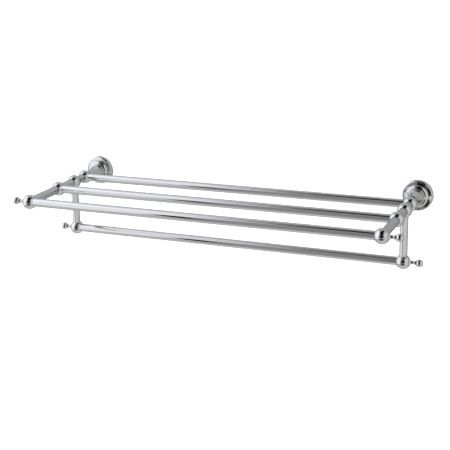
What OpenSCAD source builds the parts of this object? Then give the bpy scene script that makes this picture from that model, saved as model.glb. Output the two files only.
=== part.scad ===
// Wall-mounted towel rack: two ball-jointed arms, a three-rail shelf and a hanging lower rail.
// Frame: origin on the wall between the two arms, +X along the rails, +Y into the wall, +Z up.

/* [Arms] */
// Distance between the two arm centres
arm_spacing = 600; // [400:10:900]
// Distance from the wall to the rear rail's centre
rear_out = 60; // [58:1:64]
// Distance from the wall to the drop post's centre
drop_out = 98; // [92:1:106]
// Distance from the wall to the middle rail's centre
middle_out = 150; // [136:1:165]
// Distance from the wall to the front rail's centre
front_out = 240; // [200:1:280]
// Height of the shelf rails above the lower rail
drop = 85; // [60:1:130]

/* [Tubes] */
// Outer diameter of the rails and the arm tubes
tube_d = 14; // [12:0.5:15]
// Outer diameter of the drop posts
post_d = 13; // [11.5:0.5:14]
// Wall thickness of every tube
tube_wall = 1; // [0.8:0.1:1.5]

/* [Balls] */
// Diameter of the joint balls
ball_d = 24; // [23:0.5:26]
// Distance from a ball's centre to the end of the arm tube or post seated in it
seat = 8; // [7.6:0.1:8.2]
// Distance from a ball's centre to the end of a rail seated in it
rail_seat = 4; // [3.8:0.1:5]

/* [Finials] */
// Distance from a joint ball's centre to its finial ball's centre
finial_reach = 26; // [25:0.5:30]
// Diameter of the finial ball
finial_d = 12.5; // [11:0.5:13]
// Diameter of the finial's narrowest point
finial_neck_d = 5.2; // [4.6:0.1:6]

/* [Wall flange] */
// Outer diameter of the wall flange
flange_d = 51.5; // [51:0.5:56]
// Thickness of the flange's outer rim
rim_t = 9; // [8.6:0.1:9.6]
// Diameter of the domed step on the flange
dome_d = 38.6; // [38:0.2:39.2]
// Distance from the wall to the flat top of the domed step
dome_t = 15.5; // [15:0.1:16.2]
// Diameter of the neck's round base
neck_base_d = 29; // [27:0.5:30]
// Diameter of the neck's bead above its base
neck_bead_d = 24.6; // [23.5:0.2:25.5]

/* [Wall bracket] */
// Diameter of the hidden wall bracket
bracket_d = 35; // [34:0.5:35.4]
// Thickness of the hidden wall bracket
bracket_t = 4; // [3.6:0.1:4.2]
// Height between the two wall-screw holes of one bracket
screw_spacing = 24; // [23:0.5:25]
// Diameter of the wall-screw holes
screw_hole_d = 4.5; // [4:0.1:4.8]

/* [Fixings] */
// Diameter of the tie rods through the arms and the studs through the posts
rod_d = 6; // [5:0.5:6]
// Diameter of the finials' threaded studs
stud_d = 4; // [3:0.5:4]
// Diameter of the grub screws
grub_d = 3; // [2.5:0.5:3]

/* [Hidden] */
$fn = 96;

// Radii
tube_r = tube_d / 2;
post_r = post_d / 2;
ball_r = ball_d / 2;
flange_r = flange_d / 2;
dome_r = dome_d / 2;
base_r = neck_base_d / 2;
bead_r = neck_bead_d / 2;
bracket_r = bracket_d / 2;
rod_r = rod_d / 2;
stud_r = stud_d / 2;
grub_r = grub_d / 2;
finial_r = finial_d / 2;
finial_neck_r = finial_neck_d / 2;

// Clearances
gap = 0.05;        // round a seated tube, a threaded rod or a grub screw
rod_gap = 0.2;     // round a rod that passes freely
bracket_gap = 0.3; // between the bracket and the flange's recess
cut = 1;           // how far a cutting tool runs past a face

// Flange and neck, measured outwards from the wall
rim_fillet = 2.8;
dish_w = 3.4;                       // shallow dish between the rim's lip and the dome
dish_curve_r = 17.5;
dish_drop = 0.7;                    // lip standing above the dish's outer edge
dish_tilt = 5;                      // slope at the dish's outer edge, in degrees
dome_fillet = 5.5;
pocket_r = 8.6;                     // room for the tie washer and nut
pocket_t = dome_t - 3.8;
spigot_r = 10;                      // the neck's spigot in the flange
spigot_t = 1.5;
base_t = 3;                         // thickness of the neck's round base
bead_t = 2.4;                       // thickness of the bead above it
bell_start_r = bead_r - 1.1;
bell_start = dome_t + base_t + bead_t;
bell_end = rear_out - ball_r;
bell_drop = bell_start_r - tube_r;
bell_run = bell_end - bell_start;
bell_arc_r = (bell_drop * bell_drop + bell_run * bell_run) / (2 * bell_drop);

// Wall bracket
bracket_bore_r = 7;
countersink_t = 2;
groove_t = 2.4;                     // where the grub screw bears, from the wall
groove_depth = 1;
screw_tip_in = 0.6;                 // how far the screw's tip reaches into the groove
flange_screw_len = 5;

// Tie rod and its nut
washer_t = 1.2;
washer_r = 6.2;
nut_t = 5;
nut_flats = 10;
rod_tail = 0.8;                     // rod standing past the nut
rod_end_gap = 3;                    // rod end to the front ball's centre
stud_top_gap = 4;                   // post stud's top end to the drop ball's centre
stud_foot_gap = 3;                  // post stud's lower end to the lower ball's centre

// Finials, measured outwards from the joint ball's centre
finial_seat = 10.2;
finial_base_r = 5.3;
finial_waist = 16;                  // narrowest point
finial_collar = 19.2;               // middle of the collar under the ball
finial_collar_r = 3.7;
finial_collar_t = 1.3;
stud_in = 13;                       // stud's end, inboard of the joint ball's centre
insert_len = 14;
insert_r = tube_r - tube_wall - gap;

// Grub screws that hold the rear and middle rails
rail_screw_in = 6.5;                // inboard of the joint ball's centre
rail_screw_len = 2.8;

// Places
arm_x = arm_spacing / 2;

// Puts the right-hand piece on one side; the left side is its mirror image
module side(s) {
    if (s > 0) children();
    else mirror([1, 0, 0]) children();
}

// Local z runs out from the wall along the right arm's axis
module on_arm() {
    translate([arm_x, 0, 0]) rotate([90, 0, 0]) children();
}

// Local origin at a joint ball's centre, axes as in the rack's frame
module at_ball(out, down = 0) {
    translate([arm_x, -out, -down]) children();
}

// Local z runs outboard from a joint ball's centre
module outboard(out, down = 0) {
    at_ball(out, down) rotate([0, 90, 0]) children();
}

// Local z runs inboard from a joint ball's centre
module inboard(out, down = 0) {
    at_ball(out, down) rotate([0, -90, 0]) children();
}

module tube(r, length) {
    difference() {
        cylinder(r = r, h = length);
        translate([0, 0, -cut]) cylinder(r = r - tube_wall, h = length + 2 * cut);
    }
}

module ring(outer_r, inner_r, t) {
    difference() {
        cylinder(r = outer_r, h = t);
        translate([0, 0, -cut]) cylinder(r = inner_r, h = t + 2 * cut);
    }
}

// Rails

module rail(out, down = 0) {
    length = arm_spacing - 2 * rail_seat;
    color("gainsboro")
        translate([-length / 2, -out, -down]) rotate([0, 90, 0]) tube(tube_r, length);
}

module rail_insert(out, down) {
    inboard(out, down) translate([0, 0, rail_seat]) ring(insert_r, stud_r + gap, insert_len);
}

module rail_inserts(out, down = 0) {
    color("goldenrod") {
        side(1) rail_insert(out, down);
        side(-1) rail_insert(out, down);
    }
}

// Wall bracket and flange

module wall_bracket() {
    color("silver") on_arm() difference() {
        rotate_extrude() difference() {
            square([bracket_r, bracket_t]);
            square([bracket_bore_r, bracket_t]);
            translate([bracket_r, groove_t]) rotate(45)
                square(groove_depth * sqrt(2), center = true);
        }
        for (z = [-1, 1]) translate([0, z * screw_spacing / 2, 0]) {
            translate([0, 0, -cut]) cylinder(d = screw_hole_d, h = bracket_t + 2 * cut);
            translate([0, 0, bracket_t - countersink_t]) cylinder(
                r1 = screw_hole_d / 2,
                r2 = screw_hole_d / 2 + countersink_t,
                h = countersink_t
            );
        }
    }
}

module flange_outline() {
    // rim with a rounded front edge
    square([flange_r, rim_t - rim_fillet]);
    square([flange_r - rim_fillet, rim_t]);
    translate([flange_r - rim_fillet, rim_t - rim_fillet]) circle(rim_fillet);
    // domed step
    square([dome_r, dome_t - dome_fillet]);
    square([dome_r - dome_fillet, dome_t]);
    translate([dome_r - dome_fillet, dome_t - dome_fillet]) circle(dome_fillet);
}

// Hollow-ground ring that rises from the rim's lip to the dome
module dish_cut() {
    edge_r = dome_r + dish_w;
    intersection() {
        translate([dome_r, rim_t - 2 * dish_drop]) square([dish_w, 2 * dish_drop + cut]);
        translate([
            edge_r + dish_curve_r * sin(dish_tilt),
            rim_t - dish_drop + dish_curve_r * cos(dish_tilt)
        ]) circle(dish_curve_r, $fn = 240);
    }
}

module flange() {
    color("gainsboro") on_arm() difference() {
        rotate_extrude() difference() {
            intersection() {
                flange_outline();
                square([flange_r + cut, dome_t + cut]);
            }
            dish_cut();
            // recess for the bracket, pocket for the nut, bore for the tie rod
            square([bracket_r + bracket_gap, bracket_t + bracket_gap]);
            square([pocket_r, pocket_t]);
            square([rod_r + rod_gap, dome_t + cut]);
            // seat of the neck's spigot
            translate([0, dome_t - spigot_t]) square([spigot_r + gap, spigot_t + cut]);
        }
        translate([0, 0, groove_t]) rotate([90, 0, 0])
            cylinder(r = grub_r + gap, h = flange_r + cut);
    }
}

module flange_screw() {
    tip = bracket_r - screw_tip_in;
    tip_len = 1.3;
    socket_r = 0.87;
    socket_depth = 1.5;
    color("silver") on_arm() translate([0, 0, groove_t]) rotate([90, 0, 0]) difference() {
        translate([0, 0, tip]) union() {
            cylinder(r1 = 0.2, r2 = grub_r, h = tip_len);
            translate([0, 0, tip_len]) cylinder(r = grub_r, h = flange_screw_len - tip_len);
        }
        translate([0, 0, tip + flange_screw_len - socket_depth])
            cylinder(r = socket_r, h = socket_depth + cut, $fn = 6);
    }
}

module neck_outline() {
    fillet = base_t / 2;
    // spigot and round base
    translate([0, dome_t - spigot_t]) square([spigot_r, spigot_t + base_t]);
    translate([0, dome_t]) square([base_r - fillet, base_t]);
    translate([base_r - fillet, dome_t + fillet]) circle(fillet);
    // bead
    translate([0, dome_t + base_t]) square([bead_r - bead_t / 2, bead_t]);
    translate([bead_r - bead_t / 2, dome_t + base_t + bead_t / 2]) circle(bead_t / 2);
    // bell with a hollow side, then the end seated in the rear ball
    difference() {
        translate([0, bell_start]) square([bell_start_r, bell_run]);
        translate([tube_r + bell_arc_r, bell_end]) circle(bell_arc_r, $fn = 240);
    }
    translate([0, bell_end]) square([tube_r, rear_out - seat - bell_end]);
}

module neck() {
    color("gainsboro") on_arm() rotate_extrude() difference() {
        neck_outline();
        square([rod_r + rod_gap, rear_out]);
    }
}

// Joint balls

// Half-section of a ball on its turning axis
module half_ball() {
    intersection() {
        circle(ball_r);
        translate([0, -ball_r]) square([ball_r, ball_d]);
    }
}

// Seat for a round end of radius r, along local z from its seat face outwards
module seat_cut(r, face) {
    translate([0, 0, face]) cylinder(r = r + gap, h = ball_r);
}

// Ball turned about the arm's axis, with an arm-tube seat at both ends and a bore for the tie rod
module arm_ball() {
    rotate([90, 0, 0]) rotate_extrude() difference() {
        half_ball();
        for (end = [0, 1]) mirror([0, end])
            translate([0, seat]) square([tube_r + gap, ball_r]);
        translate([0, -ball_r]) square([rod_r + rod_gap, ball_d]);
    }
}

// Ball turned about the rail's axis, with a rail seat inboard and a finial seat outboard
module finial_ball() {
    rotate([0, -90, 0]) rotate(180) rotate_extrude() difference() {
        half_ball();
        translate([0, rail_seat]) square([tube_r + gap, ball_r]);
        translate([0, -finial_seat - ball_r]) square([finial_base_r + gap, ball_r]);
        translate([0, -ball_r]) square([stud_r + rod_gap, ball_d]);
    }
}

// Rear and middle balls: the tie rod passes through and a grub screw holds the rail
module shelf_ball(out) {
    color("gainsboro") at_ball(out) difference() {
        arm_ball();
        rotate([0, -90, 0]) seat_cut(tube_r, rail_seat);
        translate([-rail_screw_in, 0, -ball_d]) cylinder(r = grub_r + gap, h = ball_d - tube_r);
    }
}

module drop_ball() {
    color("gainsboro") at_ball(drop_out) difference() {
        arm_ball();
        rotate([180, 0, 0]) seat_cut(post_r, seat);
        translate([0, 0, -seat - cut]) cylinder(r = rod_r + gap, h = seat + cut - stud_top_gap);
    }
}

module front_ball() {
    color("gainsboro") at_ball(front_out) difference() {
        finial_ball();
        rotate([-90, 0, 0]) seat_cut(tube_r, seat);
        rotate([-90, 0, 0]) translate([0, 0, rod_end_gap]) cylinder(r = rod_r + gap, h = ball_r);
    }
}

module lower_ball() {
    color("gainsboro") at_ball(drop_out, drop) difference() {
        finial_ball();
        seat_cut(post_r, seat);
        translate([0, 0, stud_foot_gap]) cylinder(r = rod_r + gap, h = ball_r);
    }
}

// Tubes of the arm and the drop post

module arm_piece(from_out, to_out) {
    color("gainsboro") on_arm() translate([0, 0, from_out + seat])
        tube(tube_r, to_out - from_out - 2 * seat);
}

module drop_post() {
    color("gainsboro") at_ball(drop_out, drop) translate([0, 0, seat])
        tube(post_r, drop - 2 * seat);
}

// Rods, nuts and screws

module tie_rod() {
    start = pocket_t - washer_t - nut_t - rod_tail;
    color("silver") on_arm() translate([0, 0, start])
        cylinder(r = rod_r, h = front_out - rod_end_gap - start);
}

module tie_washer() {
    color("silver") on_arm() translate([0, 0, pocket_t - washer_t])
        ring(washer_r, rod_r + rod_gap, washer_t);
}

module tie_nut() {
    color("silver") on_arm() translate([0, 0, pocket_t - washer_t - nut_t]) difference() {
        cylinder(r = nut_flats / 2 / cos(30), h = nut_t, $fn = 6);
        translate([0, 0, -cut]) cylinder(r = rod_r + gap, h = nut_t + 2 * cut);
    }
}

module post_stud() {
    color("silver") at_ball(drop_out, drop) translate([0, 0, stud_foot_gap])
        cylinder(r = rod_r, h = drop - stud_foot_gap - stud_top_gap);
}

module rail_screw(out) {
    socket_r = 0.87;
    socket_depth = 1.2;
    at_ball(out) translate([-rail_screw_in, 0, -tube_r - gap - rail_screw_len]) difference() {
        cylinder(r = grub_r, h = rail_screw_len);
        translate([0, 0, -cut]) cylinder(r = socket_r, h = socket_depth + cut, $fn = 6);
    }
}

module rail_screws() {
    color("silver") {
        rail_screw(rear_out);
        rail_screw(middle_out);
    }
}

// Turned finial: cove, collar and ball on a threaded stud

module finial_outline() {
    cove_len = finial_waist - finial_seat;
    cove_drop = finial_base_r - finial_neck_r;
    cove_arc_r = (cove_drop * cove_drop + cove_len * cove_len) / (2 * cove_drop);
    difference() {
        translate([0, finial_seat]) square([finial_base_r, cove_len]);
        translate([finial_neck_r + cove_arc_r, finial_waist]) circle(cove_arc_r);
    }
    translate([0, finial_waist]) square([finial_neck_r, finial_reach - finial_waist]);
    translate([finial_collar_r - finial_collar_t / 2, finial_collar]) circle(finial_collar_t / 2);
    translate([0, finial_collar - finial_collar_t / 2])
        square([finial_collar_r - finial_collar_t / 2, finial_collar_t]);
    translate([0, finial_reach]) circle(finial_r);
    translate([0, -stud_in]) square([stud_r, stud_in + finial_seat]);
}

module finial(out, down = 0) {
    color("gainsboro") outboard(out, down) rotate_extrude() intersection() {
        finial_outline();
        translate([0, -stud_in]) square([ball_r, stud_in + finial_reach + ball_r]);
    }
}

rail(rear_out);  // rear_rail
rail(middle_out);  // middle_rail
rail(front_out);  // front_rail
rail(drop_out, drop);  // lower_rail
rail_inserts(front_out);  // front_rail_inserts
rail_inserts(drop_out, drop);  // lower_rail_inserts

side(-1) wall_bracket();  // left_wall_bracket
side(-1) flange();  // left_flange
side(-1) flange_screw();  // left_flange_screw
side(-1) neck();  // left_neck
side(-1) shelf_ball(rear_out);  // left_rear_ball
side(-1) drop_ball();  // left_drop_ball
side(-1) shelf_ball(middle_out);  // left_middle_ball
side(-1) front_ball();  // left_front_ball
side(-1) lower_ball();  // left_lower_ball
side(-1) arm_piece(rear_out, drop_out);  // left_rear_spacer
side(-1) arm_piece(drop_out, middle_out);  // left_middle_spacer
side(-1) arm_piece(middle_out, front_out);  // left_arm_tube
side(-1) drop_post();  // left_drop_post
side(-1) tie_rod();  // left_tie_rod
side(-1) tie_washer();  // left_tie_washer
side(-1) tie_nut();  // left_tie_nut
side(-1) post_stud();  // left_post_stud
side(-1) rail_screws();  // left_rail_screws
side(-1) finial(front_out);  // left_front_finial
side(-1) finial(drop_out, drop);  // left_lower_finial

side(1) wall_bracket();  // right_wall_bracket
side(1) flange();  // right_flange
side(1) flange_screw();  // right_flange_screw
side(1) neck();  // right_neck
side(1) shelf_ball(rear_out);  // right_rear_ball
side(1) drop_ball();  // right_drop_ball
side(1) shelf_ball(middle_out);  // right_middle_ball
side(1) front_ball();  // right_front_ball
side(1) lower_ball();  // right_lower_ball
side(1) arm_piece(rear_out, drop_out);  // right_rear_spacer
side(1) arm_piece(drop_out, middle_out);  // right_middle_spacer
side(1) arm_piece(middle_out, front_out);  // right_arm_tube
side(1) drop_post();  // right_drop_post
side(1) tie_rod();  // right_tie_rod
side(1) tie_washer();  // right_tie_washer
side(1) tie_nut();  // right_tie_nut
side(1) post_stud();  // right_post_stud
side(1) rail_screws();  // right_rail_screws
side(1) finial(front_out);  // right_front_finial
side(1) finial(drop_out, drop);  // right_lower_finial
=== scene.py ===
"""Chrome ball-and-tube towel rack: the looks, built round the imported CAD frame.

Everything is in metres, in the frame of the CAD: +X along the rails, +Y into the wall, +Z up.
"""

import math

import bmesh
import bpy
from mathutils import Matrix, Vector


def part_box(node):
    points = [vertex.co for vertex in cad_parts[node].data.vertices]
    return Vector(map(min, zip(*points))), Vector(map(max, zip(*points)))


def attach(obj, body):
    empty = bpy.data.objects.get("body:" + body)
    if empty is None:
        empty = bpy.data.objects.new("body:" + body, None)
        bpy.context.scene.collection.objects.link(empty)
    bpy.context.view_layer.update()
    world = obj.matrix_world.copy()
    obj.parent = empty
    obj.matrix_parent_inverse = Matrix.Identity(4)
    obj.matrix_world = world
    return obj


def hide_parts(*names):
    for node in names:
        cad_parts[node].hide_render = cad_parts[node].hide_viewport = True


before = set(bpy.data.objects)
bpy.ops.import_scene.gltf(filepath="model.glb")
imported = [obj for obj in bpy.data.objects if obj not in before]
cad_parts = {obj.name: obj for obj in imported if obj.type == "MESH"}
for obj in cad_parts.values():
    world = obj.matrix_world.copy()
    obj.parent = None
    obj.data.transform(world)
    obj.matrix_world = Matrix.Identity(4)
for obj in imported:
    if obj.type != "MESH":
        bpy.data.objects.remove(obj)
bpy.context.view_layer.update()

MM = 0.001


# ---------------------------------------------------------------- sizes, read from the frame

def centre(node):
    low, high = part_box(node)
    return (low + high) / 2


def span(node):
    low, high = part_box(node)
    return high - low


ARM_X = centre("right_flange").x
ARM_Z = centre("rear_rail").z
REAR_Y = centre("rear_rail").y
MIDDLE_Y = centre("middle_rail").y
FRONT_Y = centre("front_rail").y
DROP_Y = centre("right_drop_post").y
LOWER_Z = centre("lower_rail").z

TUBE_R = span("rear_rail").z / 2
POST_R = span("right_drop_post").x / 2
BALL_R = span("right_rear_ball").z / 2
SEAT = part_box("right_arm_tube")[0].y - FRONT_Y
RAIL_SEAT = ARM_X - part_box("rear_rail")[1].x
FLANGE_R = span("right_flange").x / 2
DOME_T = -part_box("right_flange")[0].y
NECK_END = -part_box("right_neck")[0].y
FINIAL_R = span("right_front_finial").z / 2
FINIAL_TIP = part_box("right_front_finial")[1].x - ARM_X
FINIAL_TAIL = ARM_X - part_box("right_front_finial")[0].x
ROD_R = span("right_tie_rod").z / 2
ROD_START = -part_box("right_tie_rod")[1].y
ROD_END = -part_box("right_tie_rod")[0].y
BRACKET_R = span("right_wall_bracket").x / 2
BRACKET_T = span("right_wall_bracket").y

# Details that the frame's boxes don't give
WALL = 1.0 * MM                 # tube wall
GAP = 0.05 * MM                 # round a seated end
ROD_GAP = 0.2 * MM              # round a rod that passes freely
EDGE = 0.12 * MM                # broken edge of a seat or tube end
FINIAL_BASE_R = 5.3 * MM
FINIAL_SEAT = 10.2 * MM         # foot of the finial, from the ball's centre
ROD_END_GAP = 3.0 * MM          # from a front or lower ball's centre to the blind end of its rod's bore
STUD_TOP_GAP = 4.0 * MM         # from a drop ball's centre to the blind end of its stud's bore
POCKET_R = 8.6 * MM             # flange's pocket for the tie nut
SPIGOT_R = 10.0 * MM            # neck's spigot in the flange
SPIGOT_T = 1.5 * MM
BIT = 20 * MM                   # from a ball's centre to the outer end of a drill bit
STUD_R = 2.0 * MM               # finial's threaded stud
GRUB_R = 1.5 * MM
RAIL_SCREW_IN = 6.5 * MM        # rail grub screw, inboard of the ball's centre
SCREW_Z = 12.0 * MM             # wall-screw holes above and below the arm's axis
SCREW_HOLE_R = 2.25 * MM
COUNTERSINK = 2.0 * MM          # both its depth and how far it widens the hole
GROOVE_T = 2.4 * MM             # from the wall to the flange screw and the bracket's groove
GROOVE_DEPTH = 1.0 * MM
BRACKET_BORE_R = 7.0 * MM
CONE_R = 0.2 * MM               # flat at the flange screw's point
CUP_R = 1.0 * MM                # flat at a rail screw's point
SOCKET_R = 0.87 * MM            # hex socket, over its corners
INSERT_R = 5.95 * MM
INSERT_T = 14.0 * MM            # length of a rail insert
TAP_GAP = 0.05 * MM             # between a bolt's crests and its tapped hole

ROUND = 96                      # segments round a turned piece
SMALL_ROUND = 64                # and round a rod, a screw or a drill bit
SHARP = math.radians(38)        # edges steeper than this stay crisp
ON_SKIN = 0.004 * MM            # how near a corner lies to the ball's radius to count as its skin
M6 = (1.0 * MM, 0.55 * MM)      # thread pitch and depth
M4 = (0.7 * MM, 0.4 * MM)
M3 = (0.5 * MM, 0.28 * MM)

OUTWARD = (0, -1, 0)            # along an arm, from the wall into the room
DOWN = (0, 0, -1)


# ---------------------------------------------------------------- node helpers

def new_material(name):
    material = bpy.data.materials.new(name)
    material.use_nodes = True
    tree = material.node_tree
    return material, tree, tree.nodes["Principled BSDF"]


def glowing_material(name, colour):
    """A light of one colour, or of the colour socket that colour(tree) builds."""
    material = bpy.data.materials.new(name)
    material.use_nodes = True
    tree = material.node_tree
    tree.nodes.clear()
    glow = tree.nodes.new("ShaderNodeEmission")
    output = tree.nodes.new("ShaderNodeOutputMaterial")
    tree.links.new(glow.outputs[0], output.inputs["Surface"])
    if isinstance(colour, tuple):
        glow.inputs["Color"].default_value = (*colour, 1.0)
    else:
        tree.links.new(colour(tree), glow.inputs["Color"])
    return material


def math_node(tree, operation, a, b=None, clamp=False):
    node = tree.nodes.new("ShaderNodeMath")
    node.operation = operation
    node.use_clamp = clamp
    for socket, value in zip(node.inputs, (a, b)):
        if value is None:
            continue
        if isinstance(value, (int, float)):
            socket.default_value = value
        else:
            tree.links.new(value, socket)
    return node.outputs[0]


def map_range(tree, value, low, high, to_low=0.0, to_high=1.0, smooth=False):
    node = tree.nodes.new("ShaderNodeMapRange")
    node.interpolation_type = "SMOOTHSTEP" if smooth else "LINEAR"
    tree.links.new(value, node.inputs["Value"])
    node.inputs["From Min"].default_value = low
    node.inputs["From Max"].default_value = high
    node.inputs["To Min"].default_value = to_low
    node.inputs["To Max"].default_value = to_high
    return node.outputs["Result"]


def noise(tree, vector, scale, detail=3.0, roughness=0.5):
    node = tree.nodes.new("ShaderNodeTexNoise")
    node.inputs["Scale"].default_value = scale
    node.inputs["Detail"].default_value = detail
    node.inputs["Roughness"].default_value = roughness
    tree.links.new(vector, node.inputs["Vector"])
    return node.outputs["Fac"]


def stretched(tree, scale):
    """Object coordinates in metres, scaled along each axis."""
    coords = tree.nodes.new("ShaderNodeTexCoord")
    mapping = tree.nodes.new("ShaderNodeMapping")
    mapping.inputs["Scale"].default_value = scale
    tree.links.new(coords.outputs["Object"], mapping.inputs["Vector"])
    return mapping.outputs["Vector"]


def mix_colour(tree, factor, a, b):
    node = tree.nodes.new("ShaderNodeMix")
    node.data_type = "RGBA"
    tree.links.new(factor, node.inputs["Factor"])
    for socket, value in ((node.inputs["A"], a), (node.inputs["B"], b)):
        if isinstance(value, tuple):
            socket.default_value = (*value, 1.0)
        else:
            tree.links.new(value, socket)
    return node.outputs["Result"]


def bump(tree, height, distance):
    node = tree.nodes.new("ShaderNodeBump")
    node.inputs["Strength"].default_value = 1.0
    node.inputs["Distance"].default_value = distance
    tree.links.new(height, node.inputs["Height"])
    return node.outputs["Normal"]


# ---------------------------------------------------------------- materials

def chrome(name, along=None):
    """Polished chrome plate. along is the tube's axis, 0 to 2, for faint draw lines."""
    dark_plate, light_plate = (0.615, 0.622, 0.640), (0.655, 0.662, 0.672)
    # a stain colour for dried drops, and a darker grey for the painted shade in crevices
    dried, crevice_shade = (0.56, 0.565, 0.57), (0.50, 0.505, 0.51)
    relief = 0.0015 * MM
    material, tree, shader = new_material(name)
    plain = stretched(tree, (1, 1, 1))
    cloud = noise(tree, plain, 38, 2)
    fine = noise(tree, plain, 900, 4)

    # dried water drops leave faint rings, here and there
    cells = tree.nodes.new("ShaderNodeTexVoronoi")
    cells.inputs["Scale"].default_value = 260
    tree.links.new(plain, cells.inputs["Vector"])
    distance = cells.outputs["Distance"]
    inner = map_range(tree, distance, 0.16, 0.22)
    outer = map_range(tree, distance, 0.24, 0.30)
    ring = math_node(tree, "SUBTRACT", inner, outer)
    patch = map_range(tree, noise(tree, plain, 22, 2), 0.52, 0.66, smooth=True)
    spots = math_node(tree, "MULTIPLY", ring, patch, clamp=True)

    # crevices, where Pointiness is low, get a darker grey base colour: painted shade
    geometry = tree.nodes.new("ShaderNodeNewGeometry")
    unshaded_skin = map_range(tree, geometry.outputs["Pointiness"], 0.42, 0.5)
    plate = mix_colour(tree, cloud, dark_plate, light_plate)
    plate = mix_colour(tree, math_node(tree, "MULTIPLY", spots, 0.5), plate, dried)
    tree.links.new(mix_colour(tree, unshaded_skin, crevice_shade, plate), shader.inputs["Base Color"])
    shader.inputs["Metallic"].default_value = 1.0
    shader.inputs["Specular Tint"].default_value = (0.60, 0.61, 0.63, 1.0)

    smear = map_range(tree, cloud, 0.35, 0.75, 0.012, 0.045, smooth=True)
    grain = map_range(tree, fine, 0.3, 0.7, -0.005, 0.008)
    gloss = math_node(tree, "ADD", smear, grain)
    gloss = math_node(tree, "ADD", gloss, math_node(tree, "MULTIPLY", spots, 0.06))
    tree.links.new(gloss, shader.inputs["Roughness"])

    if along is None:
        marks = noise(tree, plain, 240, 2)
    else:
        scale = [2600.0] * 3
        scale[along] = 14.0
        marks = noise(tree, stretched(tree, scale), 1.0, 3)
    height = math_node(tree, "ADD", math_node(tree, "MULTIPLY", fine, 0.3), marks)
    tree.links.new(bump(tree, height, relief), shader.inputs["Normal"])
    return material


def zinc_steel():
    """Zinc-plated steel of the hidden hardware: dull and mottled, with a trace of white oxide."""
    dark_zinc, light_zinc, white = (0.33, 0.335, 0.34), (0.60, 0.60, 0.585), (0.66, 0.65, 0.62)
    relief = 0.01 * MM
    material, tree, shader = new_material("zinc_steel")
    plain = stretched(tree, (1, 1, 1))
    mottle = noise(tree, plain, 420, 5, 0.6)
    oxide = map_range(tree, noise(tree, plain, 150, 4, 0.65), 0.56, 0.70, smooth=True)
    colour = mix_colour(tree, mottle, dark_zinc, light_zinc)
    colour = mix_colour(tree, math_node(tree, "MULTIPLY", oxide, 0.6), colour, white)
    tree.links.new(colour, shader.inputs["Base Color"])
    shader.inputs["Metallic"].default_value = 1.0
    gloss = map_range(tree, mottle, 0.3, 0.7, 0.26, 0.44)
    gloss = math_node(tree, "ADD", gloss, math_node(tree, "MULTIPLY", oxide, 0.2))
    tree.links.new(gloss, shader.inputs["Roughness"])
    tree.links.new(bump(tree, noise(tree, plain, 1800, 4), relief), shader.inputs["Normal"])
    return material


def turned_brass():
    """Bare brass of the rail inserts, with fine turning marks and a little tarnish."""
    dull_brass, bright_brass = (0.62, 0.42, 0.17), (0.78, 0.58, 0.28)
    relief = 0.006 * MM
    material, tree, shader = new_material("turned_brass")
    tarnish = noise(tree, stretched(tree, (1, 1, 1)), 300, 4)
    tree.links.new(mix_colour(tree, tarnish, dull_brass, bright_brass), shader.inputs["Base Color"])
    shader.inputs["Metallic"].default_value = 1.0
    tree.links.new(map_range(tree, tarnish, 0.3, 0.7, 0.2, 0.38), shader.inputs["Roughness"])
    marks = noise(tree, stretched(tree, (9000, 60, 60)), 1.0, 2)
    tree.links.new(bump(tree, marks, relief), shader.inputs["Normal"])
    return material


CHROME = chrome("chrome_turned")
CHROME_X = chrome("chrome_tube_x", 0)
CHROME_Y = chrome("chrome_tube_y", 1)
CHROME_Z = chrome("chrome_tube_z", 2)
STEEL = zinc_steel()
BRASS = turned_brass()


# ---------------------------------------------------------------- turned shapes

def to_object(mesh, name):
    """A linked object with the bmesh's shape; the bmesh is freed."""
    data = bpy.data.meshes.new(name)
    mesh.to_mesh(data)
    mesh.free()
    piece = bpy.data.objects.new(name, data)
    bpy.context.scene.collection.objects.link(piece)
    return piece


def arc(centre_r, centre_t, radius, start, end, steps=8):
    """Points of a round stretch, angles in degrees from the +radius direction towards +distance."""
    points = []
    for i in range(steps + 1):
        angle = math.radians(start + (end - start) * i / steps)
        points.append((centre_r + radius * math.cos(angle), centre_t + radius * math.sin(angle)))
    return points


def thread(radius, start, end, pitch_depth, steps=6):
    """Points along a screw thread from start to end; lathe() winds them into a helix."""
    pitch, depth = pitch_depth
    count = max(2, round(abs(end - start) / pitch * steps))
    lead = 1.5 * pitch
    points = []
    for i in range(count + 1):
        t = start + (end - start) * i / count
        fade = min(1.0, abs(t - start) / lead, abs(end - t) / lead)
        points.append((radius, t, pitch, depth * fade))
    return points


def lathe(name, profile, axis, origin, closed=True, segments=ROUND):
    """Turns a profile of (radius, distance) about an axis through origin.

    A closed profile is a hollow piece's section; an open one starts and ends on the axis.
    A point may add a thread's pitch and depth, and its ring then follows a helical groove, which is cut
    outward from an inside thread's bore where the depth is negative.
    """
    z = Vector(axis).normalized()
    x = z.orthogonal().normalized()
    y = z.cross(x)
    origin = Vector(origin)
    mesh = bmesh.new()
    rings = []
    for radius, t, *winding in profile:
        pitch, depth = winding or (1.0, 0.0)
        if radius == 0:
            rings.append([mesh.verts.new(origin + z * t)])
            continue
        ring = []
        for i in range(segments):
            turn = i / segments
            phase = (t / pitch - turn) % 1.0
            r = radius - depth * abs(2 * phase - 1)
            angle = 2 * math.pi * turn
            ring.append(mesh.verts.new(origin + z * t + (x * math.cos(angle) + y * math.sin(angle)) * r))
        rings.append(ring)
    pairs = list(zip(rings, rings[1:]))
    if closed:
        pairs.append((rings[-1], rings[0]))
    for a, b in pairs:
        for i in range(segments):
            j = (i + 1) % segments
            corners = [a[i % len(a)], a[j % len(a)], b[j % len(b)], b[i % len(b)]]
            unique = list(dict.fromkeys(corners))
            if len(unique) > 2:
                mesh.faces.new(unique)
    bmesh.ops.recalc_face_normals(mesh, faces=mesh.faces)
    return to_object(mesh, name)


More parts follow.
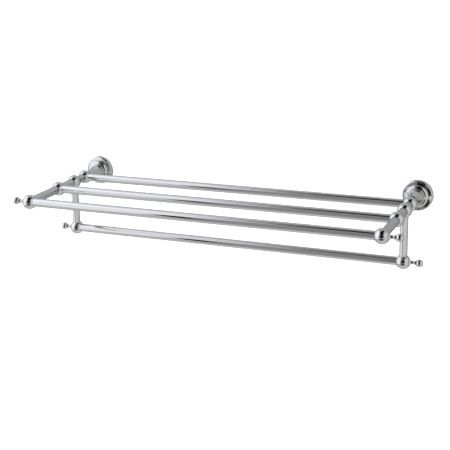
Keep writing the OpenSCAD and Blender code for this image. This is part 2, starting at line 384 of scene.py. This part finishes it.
def tube_profile(radius, bore, start, end):
    """Section of a tube with its outer end edges rounded and its inner ones chamfered."""
    nick = EDGE / 2
    return (
        arc(radius - EDGE, start + EDGE, EDGE, 270, 360, 4)
        + arc(radius - EDGE, end - EDGE, EDGE, 0, 90, 4)
        + [(bore + nick, end), (bore, end - nick), (bore, start + nick), (bore + nick, start)]
    )


def cut_away(piece, cutters, operation="DIFFERENCE"):
    """Drills the cutters out of the piece, or keeps what lies in them, and removes them."""
    for cutter in cutters:
        modifier = piece.modifiers.new("cut", "BOOLEAN")
        modifier.operation = operation
        modifier.solver = "EXACT"
        modifier.object = cutter
    graph = bpy.context.evaluated_depsgraph_get()
    result = bpy.data.meshes.new_from_object(piece.evaluated_get(graph))
    old = piece.data
    piece.modifiers.clear()
    piece.data = result
    bpy.data.meshes.remove(old)
    for cutter in cutters:
        data = cutter.data
        bpy.data.objects.remove(cutter)
        bpy.data.meshes.remove(data)
    return piece


def shade(piece, material, ball=None):
    """Smooth shading with crisp edges, long faces kept straight.

    Where ball is a centre, the ball's own skin is shaded as a true sphere.
    """
    data = piece.data
    for polygon in data.polygons:
        polygon.use_smooth = True
    data.set_sharp_from_angle(angle=SHARP)
    if ball is None:
        weighted = piece.modifiers.new("straight_faces", "WEIGHTED_NORMAL")
        weighted.keep_sharp = True
    else:
        ball = Vector(ball)
        normals = [corner.vector.copy() for corner in data.corner_normals]
        for polygon in data.polygons:
            corners = [data.vertices[v].co for v in polygon.vertices]
            if all(abs((co - ball).length - BALL_R) < ON_SKIN for co in corners):
                for loop, co in zip(polygon.loop_indices, corners):
                    normals[loop] = (co - ball).normalized()
        data.normals_split_custom_set(normals)
    data.materials.clear()
    data.materials.append(material)


def finish_piece(piece, node, material, ball=None):
    shade(piece, material, ball)
    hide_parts(node)
    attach(piece, "root")


# ---------------------------------------------------------------- rails and tubes

def make_rail(node, y, z):
    half = ARM_X - RAIL_SEAT
    profile = tube_profile(TUBE_R, TUBE_R - WALL, -half, half)
    piece = lathe(node + "_tube", profile, (1, 0, 0), (0, y, z))
    finish_piece(piece, node, CHROME_X)


def make_arm_tube(node, x):
    low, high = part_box(node)
    profile = tube_profile(TUBE_R, TUBE_R - WALL, -high.y, -low.y)
    piece = lathe(node + "_tube", profile, OUTWARD, (x, 0, ARM_Z))
    finish_piece(piece, node, CHROME_Y)


def make_drop_post(node, x):
    low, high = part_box(node)
    profile = tube_profile(POST_R, POST_R - WALL, low.z, high.z)
    piece = lathe(node + "_tube", profile, (0, 0, 1), (x, DROP_Y, 0))
    finish_piece(piece, node, CHROME_Z)


# ---------------------------------------------------------------- joint balls

def on_ball(radius):
    """Distance from the ball's centre at which a coaxial bore of this radius leaves its skin."""
    return math.sqrt(BALL_R ** 2 - radius ** 2)


def ball_skin(from_radius, to_radius, steps=40):
    """The ball's skin from a bore at the + end of its axis to a bore at the - end."""
    start = math.degrees(math.acos(from_radius / BALL_R))
    end = -math.degrees(math.acos(to_radius / BALL_R))
    return arc(0, 0, BALL_R, start, end, steps)


def arm_ball_profile():
    """Ball turned about the arm's axis: a tube seat at each end and a bore for the tie rod."""
    seat_r = TUBE_R + GAP
    bore = ROD_R + ROD_GAP
    mouth = seat_r + EDGE
    rim = on_ball(mouth) - EDGE
    skin = ball_skin(mouth, mouth)
    return (
        [(bore, SEAT - EDGE), (bore + EDGE, SEAT), (seat_r, SEAT), (seat_r, rim)]
        + skin
        + [(seat_r, -rim), (seat_r, -SEAT), (bore + EDGE, -SEAT), (bore, -SEAT + EDGE)]
    )


def finial_ball_profile():
    """Ball turned about the rail's axis: a rail seat at +, a finial seat at - and the stud's bore."""
    seat_r = TUBE_R + GAP
    bore = STUD_R + ROD_GAP
    base_r = FINIAL_BASE_R + GAP
    mouth = seat_r + EDGE
    small = base_r + EDGE / 2
    skin = ball_skin(mouth, small)
    return (
        [(bore, RAIL_SEAT), (seat_r, RAIL_SEAT), (seat_r, on_ball(mouth) - EDGE)]
        + skin
        + [(base_r, -on_ball(small) + EDGE / 2), (base_r, -FINIAL_SEAT), (bore, -FINIAL_SEAT)]
    )


def drill(axis, origin, radius, start, end, flare=0.0):
    """A drill bit along axis; flare widens it at the ball's skin, so that it breaks the mouth's edge."""
    profile = [(0, start), (radius, start)]
    if flare:
        skin = on_ball(radius + flare)
        wide = radius + 2 * flare
        profile += [(radius, skin - flare), (wide, skin + flare), (wide, end)]
    else:
        profile += [(radius, end)]
    profile += [(0, end)]
    return lathe("drill", profile, axis, origin, closed=False, segments=SMALL_ROUND)


def make_shelf_ball(node, side, y):
    at = Vector((side * ARM_X, y, ARM_Z))
    inboard = Vector((-side, 0, 0))
    piece = lathe(node + "_turned", arm_ball_profile(), (0, 1, 0), at)
    screw_at = at + inboard * RAIL_SCREW_IN
    cutters = [
        drill(inboard, at, TUBE_R + GAP, RAIL_SEAT, BIT, EDGE),
        drill(DOWN, screw_at, GRUB_R + GAP, TUBE_R - WALL, BIT),
    ]
    finish_piece(cut_away(piece, cutters), node, CHROME, at)


def make_drop_ball(node, side):
    at = Vector((side * ARM_X, DROP_Y, ARM_Z))
    piece = lathe(node + "_turned", arm_ball_profile(), (0, 1, 0), at)
    cutters = [
        drill(DOWN, at, POST_R + GAP, SEAT, BIT, EDGE),
        drill(DOWN, at, ROD_R + GAP, STUD_TOP_GAP, BIT),
    ]
    finish_piece(cut_away(piece, cutters), node, CHROME, at)


def make_finial_ball(node, side, at, towards, seat_radius):
    """Front and lower balls; towards points from the centre into the arm tube or the post."""
    inboard = (-side, 0, 0)
    piece = lathe(node + "_turned", finial_ball_profile(), inboard, at)
    cutters = [
        drill(towards, at, seat_radius + GAP, SEAT, BIT, EDGE),
        drill(towards, at, ROD_R + GAP, ROD_END_GAP, BIT),
    ]
    finish_piece(cut_away(piece, cutters), node, CHROME, at)


# ---------------------------------------------------------------- finials

def finial_profile():
    """From the stud's end, through the cove and the collar, to the tip of the ball."""
    stud_point = 0.5 * MM
    lead_in = 0.4 * MM
    run_out = 1.0 * MM
    foot_edge = 0.15 * MM
    waist_t = 16.0 * MM
    waist_r = 2.6 * MM
    collar_t = 19.2 * MM
    collar_r = 3.7 * MM
    collar_edge = 0.65 * MM
    run = waist_t - FINIAL_SEAT
    fall = FINIAL_BASE_R - waist_r
    cove_r = (fall ** 2 + run ** 2) / (2 * fall)
    sweep = math.degrees(math.asin(run / cove_r))
    cove = arc(waist_r + cove_r, waist_t, cove_r, 180 + sweep, 180, 16)
    ball_t = FINIAL_TIP - FINIAL_R
    ball = arc(0, ball_t, FINIAL_R, -math.degrees(math.acos(waist_r / FINIAL_R)), 90, 32)
    return (
        [(0, -FINIAL_TAIL), (STUD_R - stud_point, -FINIAL_TAIL)]
        + thread(STUD_R, -FINIAL_TAIL + lead_in, FINIAL_SEAT - run_out, M4)
        + [(STUD_R, FINIAL_SEAT), (FINIAL_BASE_R - foot_edge, FINIAL_SEAT)]
        + [(FINIAL_BASE_R, FINIAL_SEAT + foot_edge)]
        + cove[1:]
        + [(waist_r, collar_t - 2 * collar_edge)]
        + arc(collar_r - collar_edge, collar_t, collar_edge, -90, 90, 8)
        + [(waist_r, collar_t + 2 * collar_edge)]
        + ball[:-1]
        + [(0, FINIAL_TIP)]
    )


def make_finial(node, side, at):
    piece = lathe(node + "_turned", finial_profile(), (side, 0, 0), at, closed=False)
    finish_piece(piece, node, CHROME)


# ---------------------------------------------------------------- flange and neck

def flange_profile():
    """From the recess, over the rim, the hollow-ground ring and the dome, to the nut's pocket."""
    rim_t = 9.0 * MM
    rim_round = 2.8 * MM
    dome_r = 19.3 * MM
    dome_round = 5.5 * MM
    lip_r = dome_r + 3.4 * MM
    lip_drop = 0.7 * MM
    dish_r = 17.5 * MM              # hollow-ground ring between the rim's lip and the dome
    tilt = 5                        # degrees that the ring leans where it leaves the lip
    dish_end = math.degrees(math.asin((lip_r - dome_r) / dish_r + math.sin(math.radians(tilt))))
    dish_at = (
        lip_r + dish_r * math.sin(math.radians(tilt)),
        rim_t - lip_drop + dish_r * math.cos(math.radians(tilt)),
    )
    bracket_gap = 0.3 * MM
    recess_r = BRACKET_R + bracket_gap
    recess_t = BRACKET_T + bracket_gap
    crown_t = 3.8 * MM              # metal between the nut's pocket and the dome's flat top
    pocket_t = DOME_T - crown_t
    bore = ROD_R + ROD_GAP
    return (
        [(recess_r, 0), (FLANGE_R - EDGE, 0), (FLANGE_R, EDGE)]
        + arc(FLANGE_R - rim_round, rim_t - rim_round, rim_round, 0, 90, 16)
        + [(lip_r, rim_t)]
        + arc(*dish_at, dish_r, 270 - tilt, 270 - dish_end, 10)
        + arc(dome_r - dome_round, DOME_T - dome_round, dome_round, 0, 90, 24)
        + [(SPIGOT_R + GAP, DOME_T), (SPIGOT_R + GAP, DOME_T - SPIGOT_T), (bore, DOME_T - SPIGOT_T)]
        + [(bore, pocket_t), (POCKET_R, pocket_t), (POCKET_R, recess_t), (recess_r, recess_t)]
    )


def neck_profile():
    """From the spigot, over the base disc and the bead, down the bell to the rear ball's seat."""
    base_t = 3.0 * MM
    base_r = 14.5 * MM
    bead_t = 2.4 * MM
    bead_r = 12.3 * MM
    bead_step = 1.1 * MM
    bell_r = bead_r - bead_step
    bell_start = DOME_T + base_t + bead_t
    bell_end = -REAR_Y - BALL_R
    fall = bell_r - TUBE_R
    run = bell_end - bell_start
    curve_r = (fall ** 2 + run ** 2) / (2 * fall)
    sweep = math.degrees(math.asin(run / curve_r))
    bore = ROD_R + ROD_GAP
    return (
        [(bore, DOME_T - SPIGOT_T), (SPIGOT_R, DOME_T - SPIGOT_T), (SPIGOT_R, DOME_T)]
        + arc(base_r - base_t / 2, DOME_T + base_t / 2, base_t / 2, -90, 90, 14)
        + arc(bead_r - bead_t / 2, DOME_T + base_t + bead_t / 2, bead_t / 2, -90, 90, 12)
        + arc(TUBE_R + curve_r, bell_end, curve_r, 180 + sweep, 180, 40)
        + [(TUBE_R, NECK_END - EDGE), (TUBE_R - EDGE, NECK_END), (bore, NECK_END)]
    )


def make_flange(node, x):
    piece = lathe(node + "_turned", flange_profile(), OUTWARD, (x, 0, ARM_Z))
    hole = drill(DOWN, (x, -GROOVE_T, ARM_Z), GRUB_R + GAP, POCKET_R, FLANGE_R + MM)
    finish_piece(cut_away(piece, [hole]), node, CHROME)


def make_neck(node, x):
    piece = lathe(node + "_turned", neck_profile(), OUTWARD, (x, 0, ARM_Z))
    finish_piece(piece, node, CHROME)


# ---------------------------------------------------------------- hidden hardware

def ring_profile(bore, radius, start, end, edge=0.15 * MM):
    """Section of a plain ring with its four edges broken."""
    return [
        (bore + edge, start), (radius - edge, start), (radius, start + edge), (radius, end - edge),
        (radius - edge, end), (bore + edge, end), (bore, end - edge), (bore, start + edge),
    ]


def tapped(bore, radius, start, end, pitch_depth, chamfer=0.3 * MM):
    """Section of a ring whose bore carries an inside thread, cut outward from the bore."""
    pitch, depth = pitch_depth
    return (
        [(bore + chamfer, end), (radius - chamfer, end), (radius, end - chamfer)]
        + [(radius, start + chamfer), (radius - chamfer, start), (bore + chamfer, start)]
        + thread(bore, start + chamfer, end - chamfer, (pitch, -depth))
    )


def rod_profile(radius, start, end, near, far, pitch_depth, chamfer=0.6 * MM):
    """Rod with chamfered ends, threaded over a length near at its start and far at its end."""
    return (
        [(0, start), (radius - chamfer, start)]
        + thread(radius, start + chamfer, start + near, pitch_depth)
        + thread(radius, end - far, end - chamfer, pitch_depth)
        + [(radius - chamfer, end), (0, end)]
    )


def grub_profile(tip, end, point_r, chamfer=0.2 * MM):
    """Headless screw from the flat of its point to its socket end."""
    shoulder = tip + GRUB_R - point_r
    return (
        [(0, tip), (point_r, tip)]
        + thread(GRUB_R, shoulder, end - chamfer, M3)
        + [(GRUB_R - chamfer, end), (0, end)]
    )


def hexagon(radius, start, end, axis, origin):
    profile = [(0, start), (radius, start), (radius, end), (0, end)]
    return lathe("hexagon", profile, axis, origin, closed=False, segments=6)


def merge(name, pieces):
    """One mesh of several loose ones, for a node that holds a set."""
    mesh = bmesh.new()
    for piece in pieces:
        data = piece.data
        mesh.from_mesh(data)
        bpy.data.objects.remove(piece)
        bpy.data.meshes.remove(data)
    return to_object(mesh, name)


def make_grub(name, at, tip, end, point_r, socket_depth):
    """Grub screw pointing up; tip and end are measured downward from at."""
    profile = grub_profile(tip, end, point_r)
    piece = lathe(name, profile, DOWN, at, closed=False, segments=SMALL_ROUND)
    return cut_away(piece, [hexagon(SOCKET_R, end - socket_depth, end + MM, DOWN, at)])


def make_wall_bracket(node, x):
    """Disc with a V groove round it for the flange screw and two countersunk wall-screw holes."""
    edge = 0.2 * MM
    spare = 1.0 * MM                # how far a bit stands out of the disc
    profile = [
        (BRACKET_BORE_R + edge, 0), (BRACKET_R - edge, 0), (BRACKET_R, edge),
        (BRACKET_R, GROOVE_T - GROOVE_DEPTH), (BRACKET_R - GROOVE_DEPTH, GROOVE_T),
        (BRACKET_R, GROOVE_T + GROOVE_DEPTH), (BRACKET_R, BRACKET_T - edge), (BRACKET_R - edge, BRACKET_T),
        (BRACKET_BORE_R + edge, BRACKET_T), (BRACKET_BORE_R, BRACKET_T - edge), (BRACKET_BORE_R, edge),
    ]
    piece = lathe(node + "_turned", profile, OUTWARD, (x, 0, ARM_Z))
    flare_t = BRACKET_T - COUNTERSINK
    wide = SCREW_HOLE_R + COUNTERSINK + spare
    top = BRACKET_T + spare
    bit = [(0, -spare), (SCREW_HOLE_R, -spare), (SCREW_HOLE_R, flare_t), (wide, top), (0, top)]
    holes = [
        lathe("drill", bit, OUTWARD, (x, 0, ARM_Z + z), closed=False, segments=SMALL_ROUND)
        for z in (-SCREW_Z, SCREW_Z)
    ]
    finish_piece(cut_away(piece, holes), node, STEEL)


def make_rod(node, profile, axis, origin):
    piece = lathe(node + "_threaded", profile, axis, origin, closed=False, segments=SMALL_ROUND)
    finish_piece(piece, node, STEEL)


def make_tie_rod(node, x):
    profile = rod_profile(ROD_R, ROD_START, ROD_END, near=20 * MM, far=12 * MM, pitch_depth=M6)
    make_rod(node, profile, OUTWARD, (x, 0, ARM_Z))


def make_post_stud(node, x):
    low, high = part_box(node)
    profile = rod_profile(ROD_R, low.z, high.z, near=14 * MM, far=14 * MM, pitch_depth=M6)
    make_rod(node, profile, (0, 0, 1), (x, DROP_Y, 0))


def make_tie_washer(node, x):
    low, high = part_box(node)
    profile = ring_profile(ROD_R + ROD_GAP, span(node).x / 2, -high.y, -low.y)
    piece = lathe(node + "_stamped", profile, OUTWARD, (x, 0, ARM_Z))
    finish_piece(piece, node, STEEL)


def make_tie_nut(node, x):
    """Hex nut: a turned, chamfered and tapped blank, milled to its six flats."""
    low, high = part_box(node)
    start, end = -high.y, -low.y
    corner_r = span(node).x / 2
    blank_r = corner_r + 0.05 * MM
    face_r = span(node).z / 2 - 0.1 * MM
    chamfer = (blank_r - face_r) * math.tan(math.radians(30))
    bore = ROD_R + TAP_GAP
    mouth = 0.5 * MM
    blank = (
        [(bore + mouth, start), (face_r, start), (blank_r, start + chamfer)]
        + [(blank_r, end - chamfer), (face_r, end), (bore + mouth, end)]
        + thread(bore, end - mouth, start + mouth, (M6[0], -M6[1]))
    )
    at = (x, 0, ARM_Z)
    piece = lathe(node + "_milled", blank, OUTWARD, at)
    cut_away(piece, [hexagon(corner_r, start - MM, end + MM, OUTWARD, at)], "INTERSECT")
    finish_piece(piece, node, STEEL)


def make_flange_screw(node, x):
    low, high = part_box(node)
    at = (x, (low.y + high.y) / 2, 0)
    piece = make_grub(node + "_threaded", at, -high.z, -low.z, CONE_R, socket_depth=1.5 * MM)
    finish_piece(piece, node, STEEL)


def make_rail_screws(node, side):
    low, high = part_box(node)
    x = side * (ARM_X - RAIL_SCREW_IN)
    screws = [
        make_grub("screw", (x, y, 0), -high.z, -low.z, CUP_R, socket_depth=1.2 * MM)
        for y in (REAR_Y, MIDDLE_Y)
    ]
    finish_piece(merge(node + "_threaded", screws), node, STEEL)


def make_inserts(node, y, z):
    """Brass inserts in a rail's two ends, tapped for the finials' studs."""
    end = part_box(node)[1].x
    profile = tapped(STUD_R + TAP_GAP, INSERT_R, end - INSERT_T, end, M4)
    pair = [lathe("insert", profile, (side, 0, 0), (0, y, z)) for side in (-1, 1)]
    finish_piece(merge(node + "_tapped", pair), node, BRASS)


# ---------------------------------------------------------------- build both sides

for rail, y, z in (
    ("rear_rail", REAR_Y, ARM_Z),
    ("middle_rail", MIDDLE_Y, ARM_Z),
    ("front_rail", FRONT_Y, ARM_Z),
    ("lower_rail", DROP_Y, LOWER_Z),
):
    make_rail(rail, y, z)

for name, side in (("left", -1), ("right", 1)):
    x = side * ARM_X
    front = Vector((x, FRONT_Y, ARM_Z))
    lower = Vector((x, DROP_Y, LOWER_Z))
    make_flange(name + "_flange", x)
    make_neck(name + "_neck", x)
    make_shelf_ball(name + "_rear_ball", side, REAR_Y)
    make_drop_ball(name + "_drop_ball", side)
    make_shelf_ball(name + "_middle_ball", side, MIDDLE_Y)
    make_finial_ball(name + "_front_ball", side, front, (0, 1, 0), TUBE_R)
    make_finial_ball(name + "_lower_ball", side, lower, (0, 0, 1), POST_R)
    for part in ("rear_spacer", "middle_spacer", "arm_tube"):
        make_arm_tube(f"{name}_{part}", x)
    make_drop_post(name + "_drop_post", x)
    make_finial(name + "_front_finial", side, front)
    make_finial(name + "_lower_finial", side, lower)
    make_wall_bracket(name + "_wall_bracket", x)
    make_flange_screw(name + "_flange_screw", x)
    make_tie_rod(name + "_tie_rod", x)
    make_tie_washer(name + "_tie_washer", x)
    make_tie_nut(name + "_tie_nut", x)
    make_post_stud(name + "_post_stud", x)
    make_rail_screws(name + "_rail_screws", side)

make_inserts("front_rail_inserts", FRONT_Y, ARM_Z)
make_inserts("lower_rail_inserts", DROP_Y, LOWER_Z)


# ---------------------------------------------------------------- floor, backdrop and light

FLOOR_Z = -1.2
STAGE_R = 30.0
TENT_R = 4.0


def sphere(name, radius, segments, rings, material):
    mesh = bmesh.new()
    bmesh.ops.create_uvsphere(mesh, u_segments=segments, v_segments=rings, radius=radius)
    piece = to_object(mesh, name)
    piece.data.materials.append(material)
    piece.visible_diffuse = False
    piece.visible_shadow = False
    piece.visible_transmission = False
    return piece


def make_floor():
    mesh = bmesh.new()
    bmesh.ops.create_circle(mesh, cap_ends=True, segments=96, radius=STAGE_R)
    floor = to_object(mesh, "floor")
    floor.location.z = FLOOR_Z
    material, tree, shader = new_material("pale_floor")
    grain = noise(tree, stretched(tree, (1, 1, 1)), 2.0, 3)
    colour = mix_colour(tree, grain, (0.93, 0.93, 0.93), (0.97, 0.97, 0.97))
    tree.links.new(colour, shader.inputs["Base Color"])
    shader.inputs["Roughness"].default_value = 0.9
    shader.inputs["Specular IOR Level"].default_value = 0.1
    floor.data.materials.append(material)
    floor.visible_glossy = False


def make_backdrop():
    """A white shell round everything, which the camera sees and the chrome doesn't."""
    backdrop = sphere("backdrop", STAGE_R, 48, 24, glowing_material("white_backdrop", (1, 1, 1)))
    backdrop.visible_glossy = False


def ramp(tree, factor, stops):
    """Grey levels over azimuth in degrees, from -180 to 180; 0 faces the room and 90 faces +X."""
    node = tree.nodes.new("ShaderNodeValToRGB")
    tree.links.new(factor, node.inputs["Fac"])
    node.color_ramp.interpolation = "EASE"
    elements = node.color_ramp.elements
    while len(elements) > 1:
        elements.remove(elements[-1])
    for i, (azimuth, level) in enumerate(stops):
        position = (azimuth + 180) / 360
        element = elements[0] if i == 0 else elements.new(position)
        element.position = position
        element.color = (level, level, level, 1.0)
    return node.outputs["Color"]


BOX, DARK = 1.5, 0.010          # the soft box's level and the dark slot's

# Levels inside the light tent, (azimuth, level), a list for each height; LEDGE is a band in the WALLS
LOW = (
    (-180, 0.40), (-140, 0.42), (-100, 0.52), (-60, 0.72), (-44, 0.62), (-37, 0.48), (-32, 0.37),
    (-14, 0.27), (-11, DARK), (26, DARK), (31, 0.30), (39, 0.62), (60, 0.70), (94, 0.70),
    (120, 0.50), (138, 0.40), (160, 0.40), (180, 0.40),
)
LEDGE = (
    (-180, 0.42), (-150, 0.48), (-125, 0.58), (-100, 0.80), (-75, 1.05), (-50, 1.30), (-36, 1.15),
    (-32, 0.42), (-13, 0.42), (-5, 0.80), (20, 0.82), (36, 0.86), (60, 0.78), (80, 0.70),
    (118, 0.64), (138, 0.48), (160, 0.40), (180, 0.42),
)
WALLS = (
    (-180, 0.60), (-160, 0.64), (-148, 0.64), (-134, 0.68), (-122, 0.85), (-104, 1.20), (-80, 1.35),
    (-74, BOX), (-54, BOX), (-48, 1.20), (-30.5, 1.15), (-27, 0.39), (-19, 0.33), (-14, 0.27),
    (-11, DARK), (26, DARK), (31, 0.18), (38, 0.58), (50, 0.80), (62, 0.86), (94, 0.86),
    (107, 0.74), (122, 0.52), (146, 0.50), (160, 0.54), (180, 0.60),
)
ROOF = (
    (-180, 0.70), (-150, 0.74), (-112, 0.80), (-92, 1.00), (-76, 1.20), (-62, 1.20), (-54, 0.95),
    (-48, 0.75), (-43, 0.30), (27, 0.10), (45, 0.26), (80, 0.50), (130, 0.64), (180, 0.72),
)
ZENITH = (
    (-180, 0.42), (-120, 0.35), (-75, 0.31), (-52, 0.20), (-42, 0.03), (140, 0.03), (162, 0.30),
    (180, 0.42),
)
NADIR = 0.74                    # the tent's floor, level all round

# Where round the tent these lie, (azimuth, 1 or 0): a dark lid overhead, the dark edge where the bright
# side ends, and the stretch where the ledge reaches higher
LID = ((-180, 0), (-46, 0), (-41, 1), (44, 1), (54, 0), (180, 0))
FRAME = ((-180, 0), (-31.2, 0), (-30.0, 1), (-28.0, 1), (-26.4, 0), (180, 0))
SKIRT = ((-180, 0), (-150, 0), (-110, 1), (-50, 1), (-42, 0), (180, 0))

# Elevations in degrees between which one level gives way to the next
LOW_FOOT = (-54, -42)
WALLS_FOOT = (-30, -22)
LEDGE_FOOT, LEDGE_TOP, SKIRT_TOP = (-21, -20.2), (-14.4, -13.6), (-10, -8)
FRAME_FOOT, FRAME_TOP = (-26, -20), (10, 20)
LID_FOOT, LID_TOP = (44, 47), (78, 84)
ROOF_FOOT = (48, 56)
ZENITH_FOOT = (59, 68)

# The light is cool high up and on the left, warm low down and on the right
COOL, WARM = (0.985, 0.985, 1.03), (1.025, 1.015, 0.93)


def tent_colour(tree):
    """The tent's colour, painted by the direction from its middle."""
    coords = tree.nodes.new("ShaderNodeTexCoord")
    direction = tree.nodes.new("ShaderNodeVectorMath")
    direction.operation = "NORMALIZE"
    tree.links.new(coords.outputs["Object"], direction.inputs[0])
    split = tree.nodes.new("ShaderNodeSeparateXYZ")
    tree.links.new(direction.outputs["Vector"], split.inputs[0])
    room = math_node(tree, "MULTIPLY", split.outputs["Y"], -1.0)
    azimuth = math_node(tree, "ARCTAN2", split.outputs["X"], room)
    around = map_range(tree, azimuth, -math.pi, math.pi)
    elevation = math_node(tree, "ARCSINE", split.outputs["Z"])

    def above(blend):
        low, high = blend
        return map_range(tree, elevation, math.radians(low), math.radians(high), smooth=True)

    def band(foot, top, where=None):
        inside = math_node(tree, "SUBTRACT", above(foot), above(top))
        if where is None:
            return inside
        return math_node(tree, "MULTIPLY", inside, ramp(tree, around, where))

    ledge = math_node(tree, "MAXIMUM", band(LEDGE_FOOT, LEDGE_TOP), band(LEDGE_FOOT, SKIRT_TOP, SKIRT))
    level = (NADIR,) * 3
    for factor, stops in (
        (above(LOW_FOOT), LOW),
        (above(WALLS_FOOT), WALLS),
        (ledge, LEDGE),
        (above(ROOF_FOOT), ROOF),
        (above(ZENITH_FOOT), ZENITH),
    ):
        level = mix_colour(tree, factor, level, ramp(tree, around, stops))
    for factor in (band(LID_FOOT, LID_TOP, LID), band(FRAME_FOOT, FRAME_TOP, FRAME)):
        level = mix_colour(tree, factor, level, (DARK,) * 3)

    side = map_range(tree, split.outputs["X"], -0.8, 0.8)
    depth = map_range(tree, split.outputs["Z"], 1.0, -1.0)
    warmth = math_node(tree, "MULTIPLY", math_node(tree, "ADD", side, depth), 0.5)
    product = tree.nodes.new("ShaderNodeMix")
    product.data_type = "RGBA"
    product.blend_type = "MULTIPLY"
    product.inputs["Factor"].default_value = 1.0
    tree.links.new(level, product.inputs["A"])
    tree.links.new(mix_colour(tree, warmth, COOL, WARM), product.inputs["B"])
    return product.outputs["Result"]


def make_tent():
    """A light tent that only the chrome sees: bright on the left, a dark slot in front, a dark lid."""
    cloth = glowing_material("tent_cloth", tent_colour)
    cloth.cycles.emission_sampling = "NONE"
    tent = sphere("light_tent", TENT_R, 96, 48, cloth)
    tent.location = (ARM_X, DROP_Y, ARM_Z)
    tent.visible_camera = False


def make_studio():
    """White surroundings and a broad soft key light from above."""
    world = bpy.data.worlds.new("studio")
    bpy.context.scene.world = world
    world.use_nodes = True
    background = world.node_tree.nodes["Background"]
    background.inputs["Color"].default_value = (1, 1, 1, 1)
    background.inputs["Strength"].default_value = 0.6

    lamp = bpy.data.lights.new("soft_key", "SUN")
    lamp.energy = 3.0
    lamp.angle = math.radians(40)
    key = bpy.data.objects.new("soft_key", lamp)
    key.rotation_euler = (math.radians(20), math.radians(-15), 0)
    key.visible_glossy = False
    bpy.context.scene.collection.objects.link(key)


# ---------------------------------------------------------------- camera

# The photo's viewpoint, from a camera fitted to the rack's balls, flanges, posts and rails
VIEW_AZIMUTH = math.radians(23.28)
VIEW_ELEVATION = math.radians(16.8)
VIEW_ROLL = math.radians(-1.43)
VIEW_TARGET = Vector((0, -0.100, -0.040))
VIEW_DISTANCE = 1.6835
VIEW_LEFT, VIEW_DOWN = 0.0055, 0.0116
LENS = 79.6


def make_camera():
    """Looks down at the rack from the right; the photo's tilt is its roll."""
    level_reach = math.cos(VIEW_ELEVATION)
    back = Vector((
        math.sin(VIEW_AZIMUTH) * level_reach,
        -math.cos(VIEW_AZIMUTH) * level_reach,
        math.sin(VIEW_ELEVATION),
    ))
    right = (-back).cross(Vector((0, 0, 1))).normalized()
    up = right.cross(-back)
    right, up = (
        right * math.cos(VIEW_ROLL) + up * math.sin(VIEW_ROLL),
        up * math.cos(VIEW_ROLL) - right * math.sin(VIEW_ROLL),
    )
    place = VIEW_TARGET + back * VIEW_DISTANCE - right * VIEW_LEFT - up * VIEW_DOWN
    data = bpy.data.cameras.new("camera")
    data.sensor_width = 36
    data.lens = LENS
    data.clip_start = 0.05
    data.clip_end = 100
    camera = bpy.data.objects.new("camera", data)
    camera.matrix_world = Matrix((
        (right.x, up.x, back.x, place.x),
        (right.y, up.y, back.y, place.y),
        (right.z, up.z, back.z, place.z),
        (0, 0, 0, 1),
    ))
    bpy.context.scene.collection.objects.link(camera)
    bpy.context.scene.camera = camera


make_floor()
make_backdrop()
make_tent()
make_studio()
make_camera()
bpy.context.scene.view_settings.view_transform = "Standard"
